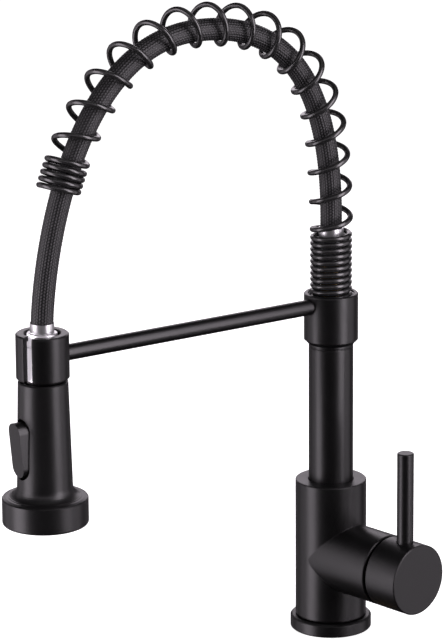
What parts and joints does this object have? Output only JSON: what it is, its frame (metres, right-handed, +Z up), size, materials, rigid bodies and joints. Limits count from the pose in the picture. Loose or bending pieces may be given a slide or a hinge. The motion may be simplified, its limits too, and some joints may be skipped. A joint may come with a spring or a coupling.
{
  "type": "pre-rinse faucet",
  "caption": "Deck-mounted kitchen faucet with a side lever, a coil-spring hose arch, a support arm with a docking ring and a pull-down spray head with a rocker switch.",
  "frame": {"origin": "on the riser axis, level with the underside of the base ring, which is the top of the deck", "axes": "+Z up along the riser, +X along the valve axis towards the lever; the arm reaches towards -Y, turned 9 degrees towards -X"},
  "size_m": [0.1356, 0.2634, 0.4637],
  "materials": {
    "body_black": "matte black powder coat with a faint satin sheen",
    "spring_black": "satin black coated spring wire",
    "spray_black": "matte black moulded plastic",
    "hose_braid": "tight black nylon braid",
    "hose_tube": "plain grey hose core",
    "bright_chrome": "bright polished plating",
    "brass": "plain turned brass",
    "steel": "plain turned stainless steel",
    "rubber": "soft matte black rubber",
    "white_resin": "plain moulded acetal",
    "grey_resin": "plain moulded resin",
    "ceramic": "lapped alumina"
  },
  "bodies": {
    "deck_body": {"base_ring": "body_black", "deck_seal": "rubber", "valve_body": "body_black", "mounting_shank": "brass", "rubber_washer": "rubber", "steel_washer": "steel", "mounting_nut": "brass", "slip_washer": "white_resin", "swivel_screw": "steel", "cartridge_seals": "rubber", "cartridge_base": "white_resin", "fixed_disc": "ceramic", "cartridge_housing": "grey_resin", "retaining_nut": "brass"},
    "mixer": {"cartridge_turret": "grey_resin", "pivot_plate": "steel", "turret_screws": "steel", "pivot_pin": "steel"},
    "disc": {"moving_disc": "ceramic", "disc_driver": "white_resin"},
    "handle": {"stem_yoke": "steel", "handle_cap": "body_black", "lever": "body_black", "handle_screw": "steel"},
    "spout": {"riser": "body_black", "riser_stub": "brass", "riser_seals": "rubber", "hub": "body_black", "hub_lip": "bright_chrome", "hub_screw": "steel", "riser_plug": "brass", "outlet_nipple": "brass", "lower_ferrule": "bright_chrome", "spring": "spring_black", "hose_braid": "hose_braid", "hose_tube": "hose_tube", "arm": "body_black", "dock": "body_black", "dock_liner": "rubber"},
    "hose_end": {"upper_ferrule": "bright_chrome", "swivel_stem": "brass"},
    "spray_head": {"neck_nut": "bright_chrome", "neck_washer": "rubber", "spray_shell": "spray_black", "waterway": "white_resin", "check_valve": "grey_resin", "nozzle_ring": "spray_black", "nozzle_face": "grey_resin", "spray_nubs": "rubber", "aerator_housing": "bright_chrome", "aerator_insert": "white_resin", "nozzle_gasket": "rubber", "rocker_pin": "steel"},
    "button": {"rocker": "spray_black"},
    "spool": {"diverter_spool": "brass", "spool_seals": "rubber"}
  },
  "joints": [
    {"name": "spout_swivel", "type": "hinge", "parent": "deck_body", "child": "spout", "pos_m": [0, 0, 0.086], "axis": [0, 0, 1], "continuous": true},
    {"name": "handle_mix", "type": "hinge", "parent": "deck_body", "child": "mixer", "pos_m": [0.04, 0, 0.0489], "axis": [1, 0, 0], "range_deg": [-45, 45]},
    {"name": "handle_flow", "type": "hinge", "parent": "mixer", "child": "handle", "pos_m": [0.051, 0, 0.034], "axis": [0, 1, 0], "range_deg": [0, 15]},
    {"name": "disc_slide", "type": "slide", "parent": "mixer", "child": "disc", "axis": [0, 0, 1], "range_m": [0, 0.0048]},
    {"name": "spray_undock", "type": "slide", "parent": "spout", "child": "hose_end", "axis": [0, 0, -1], "range_m": [0, 0.035], "deforming": ["hose_braid", "hose_tube"]},
    {"name": "spray_turn", "type": "hinge", "parent": "hose_end", "child": "spray_head", "pos_m": [-0.03302, -0.2085, 0.209], "axis": [0, 0, 1], "continuous": true},
    {"name": "button_rock", "type": "hinge", "parent": "spray_head", "child": "button", "pos_m": [-0.03491, -0.2204, 0.1576], "axis": [-0.9877, 0.1564, 0], "range_deg": [0, 14]},
    {"name": "diverter_slide", "type": "slide", "parent": "spray_head", "child": "spool", "axis": [0, 0, -1], "range_m": [0, 0.0016]}
  ],
  "couplings": [
    {"joint": "disc_slide", "follows": "handle_flow", "m_per_rad": 0.0178},
    {"joint": "diverter_slide", "follows": "button_rock", "m_per_rad": 0.00624}
  ]
}
